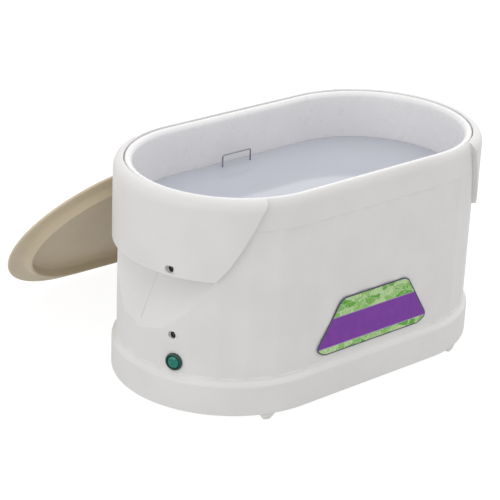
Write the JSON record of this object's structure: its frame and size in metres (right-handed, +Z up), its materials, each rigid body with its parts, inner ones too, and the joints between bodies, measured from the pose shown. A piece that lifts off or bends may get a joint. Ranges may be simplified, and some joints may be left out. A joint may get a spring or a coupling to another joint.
{
  "type": "paraffin wax bath",
  "caption": "Oval tabletop paraffin wax bath with grip hoods at both ends, a wax-filled tank with a lift-out wire grille, and a loose lid leaning on its back wall.",
  "frame": {"origin": "centre of the base pan's flat underside", "axes": "+X along the bath's length, away from the pilot lamp end; -Y the long wall with the label; +Z up"},
  "size_m": [0.4086, 0.3787, 0.221],
  "materials": {
    "white_abs": "satin moulded plastic, very light grain",
    "white_enamel": "smooth white coated aluminium tank",
    "wax": "molten wax, mirror-smooth surface",
    "steel_wire": "bright nickel plated wire",
    "zinc": "zinc plated steel",
    "white_rubber": "matt off-white rubber",
    "silicone": "matt silicone",
    "black_plastic": "black moulded plastic",
    "tan_plastic": "tan moulded plastic, satin",
    "green_lens": "green lens, faceted",
    "lamp_bezel": "dark green moulded ring",
    "lamp_bulb": "neon indicator capsule",
    "label_print": "printed film, purple band between leafy green strips",
    "heater_silicone": "orange-red silicone heating mat",
    "glass_fibre": "pale yellow glass-fibre blanket",
    "block_plastic": "cream terminal block",
    "wire_black": "insulated lead",
    "wire_white": "insulated lead",
    "wire_green": "insulated earth lead",
    "wire_red": "insulated lead"
  },
  "bodies": {
    "bath": {"base_pan": "white_abs", "base_screw_back_left": "zinc", "base_screw_back_right": "zinc", "base_screw_front_left": "zinc", "base_screw_front_right": "zinc", "bracket_screw_lower": "zinc", "bracket_screw_upper": "zinc", "control_bracket": "zinc", "foot_back_left": "white_rubber", "foot_back_right": "white_rubber", "foot_front_left": "white_rubber", "foot_front_right": "white_rubber", "front_label": "label_print", "fuse_clip": "zinc", "heater_mat": "heater_silicone", "heater_nut_left": "zinc", "heater_nut_right": "zinc", "heater_press_plate": "zinc", "hood_brace": "zinc", "insulation_pad": "glass_fibre", "insulation_wrap": "glass_fibre", "lead_earth": "wire_green", "lead_heater_live": "wire_black", "lead_heater_return": "wire_white", "lead_lamp": "wire_black", "lead_thermostat": "wire_red", "outer_housing": "white_abs", "paraffin_wax": "wax", "pilot_lamp_bezel": "lamp_bezel", "pilot_lamp_bulb": "lamp_bulb", "pilot_lamp_lens": "green_lens", "pilot_lamp_nut": "zinc", "plug_blade_live": "zinc", "plug_blade_neutral": "zinc", "plug_body": "black_plastic", "plug_earth_pin": "zinc", "power_cord": "black_plastic", "rim_gasket": "silicone", "strain_relief": "black_plastic", "tank_liner": "white_enamel", "terminal_block": "block_plastic", "thermal_fuse": "zinc", "thermostat": "black_plastic"},
    "lid": {"lid": "tan_plastic"},
    "wire_grille": {"wire_grille": "steel_wire", "grille_handle_front": "steel_wire", "grille_handle_back": "steel_wire"}
  },
  "joints": [
    {"name": "lid_lift", "type": "slide", "parent": "bath", "child": "lid", "axis": [0, 0, 1], "range_m": [0, 0.24]},
    {"name": "grille_lift", "type": "slide", "parent": "bath", "child": "wire_grille", "axis": [0, 0, 1], "range_m": [0, 0.16], "deforming": ["paraffin_wax"]}
  ]
}
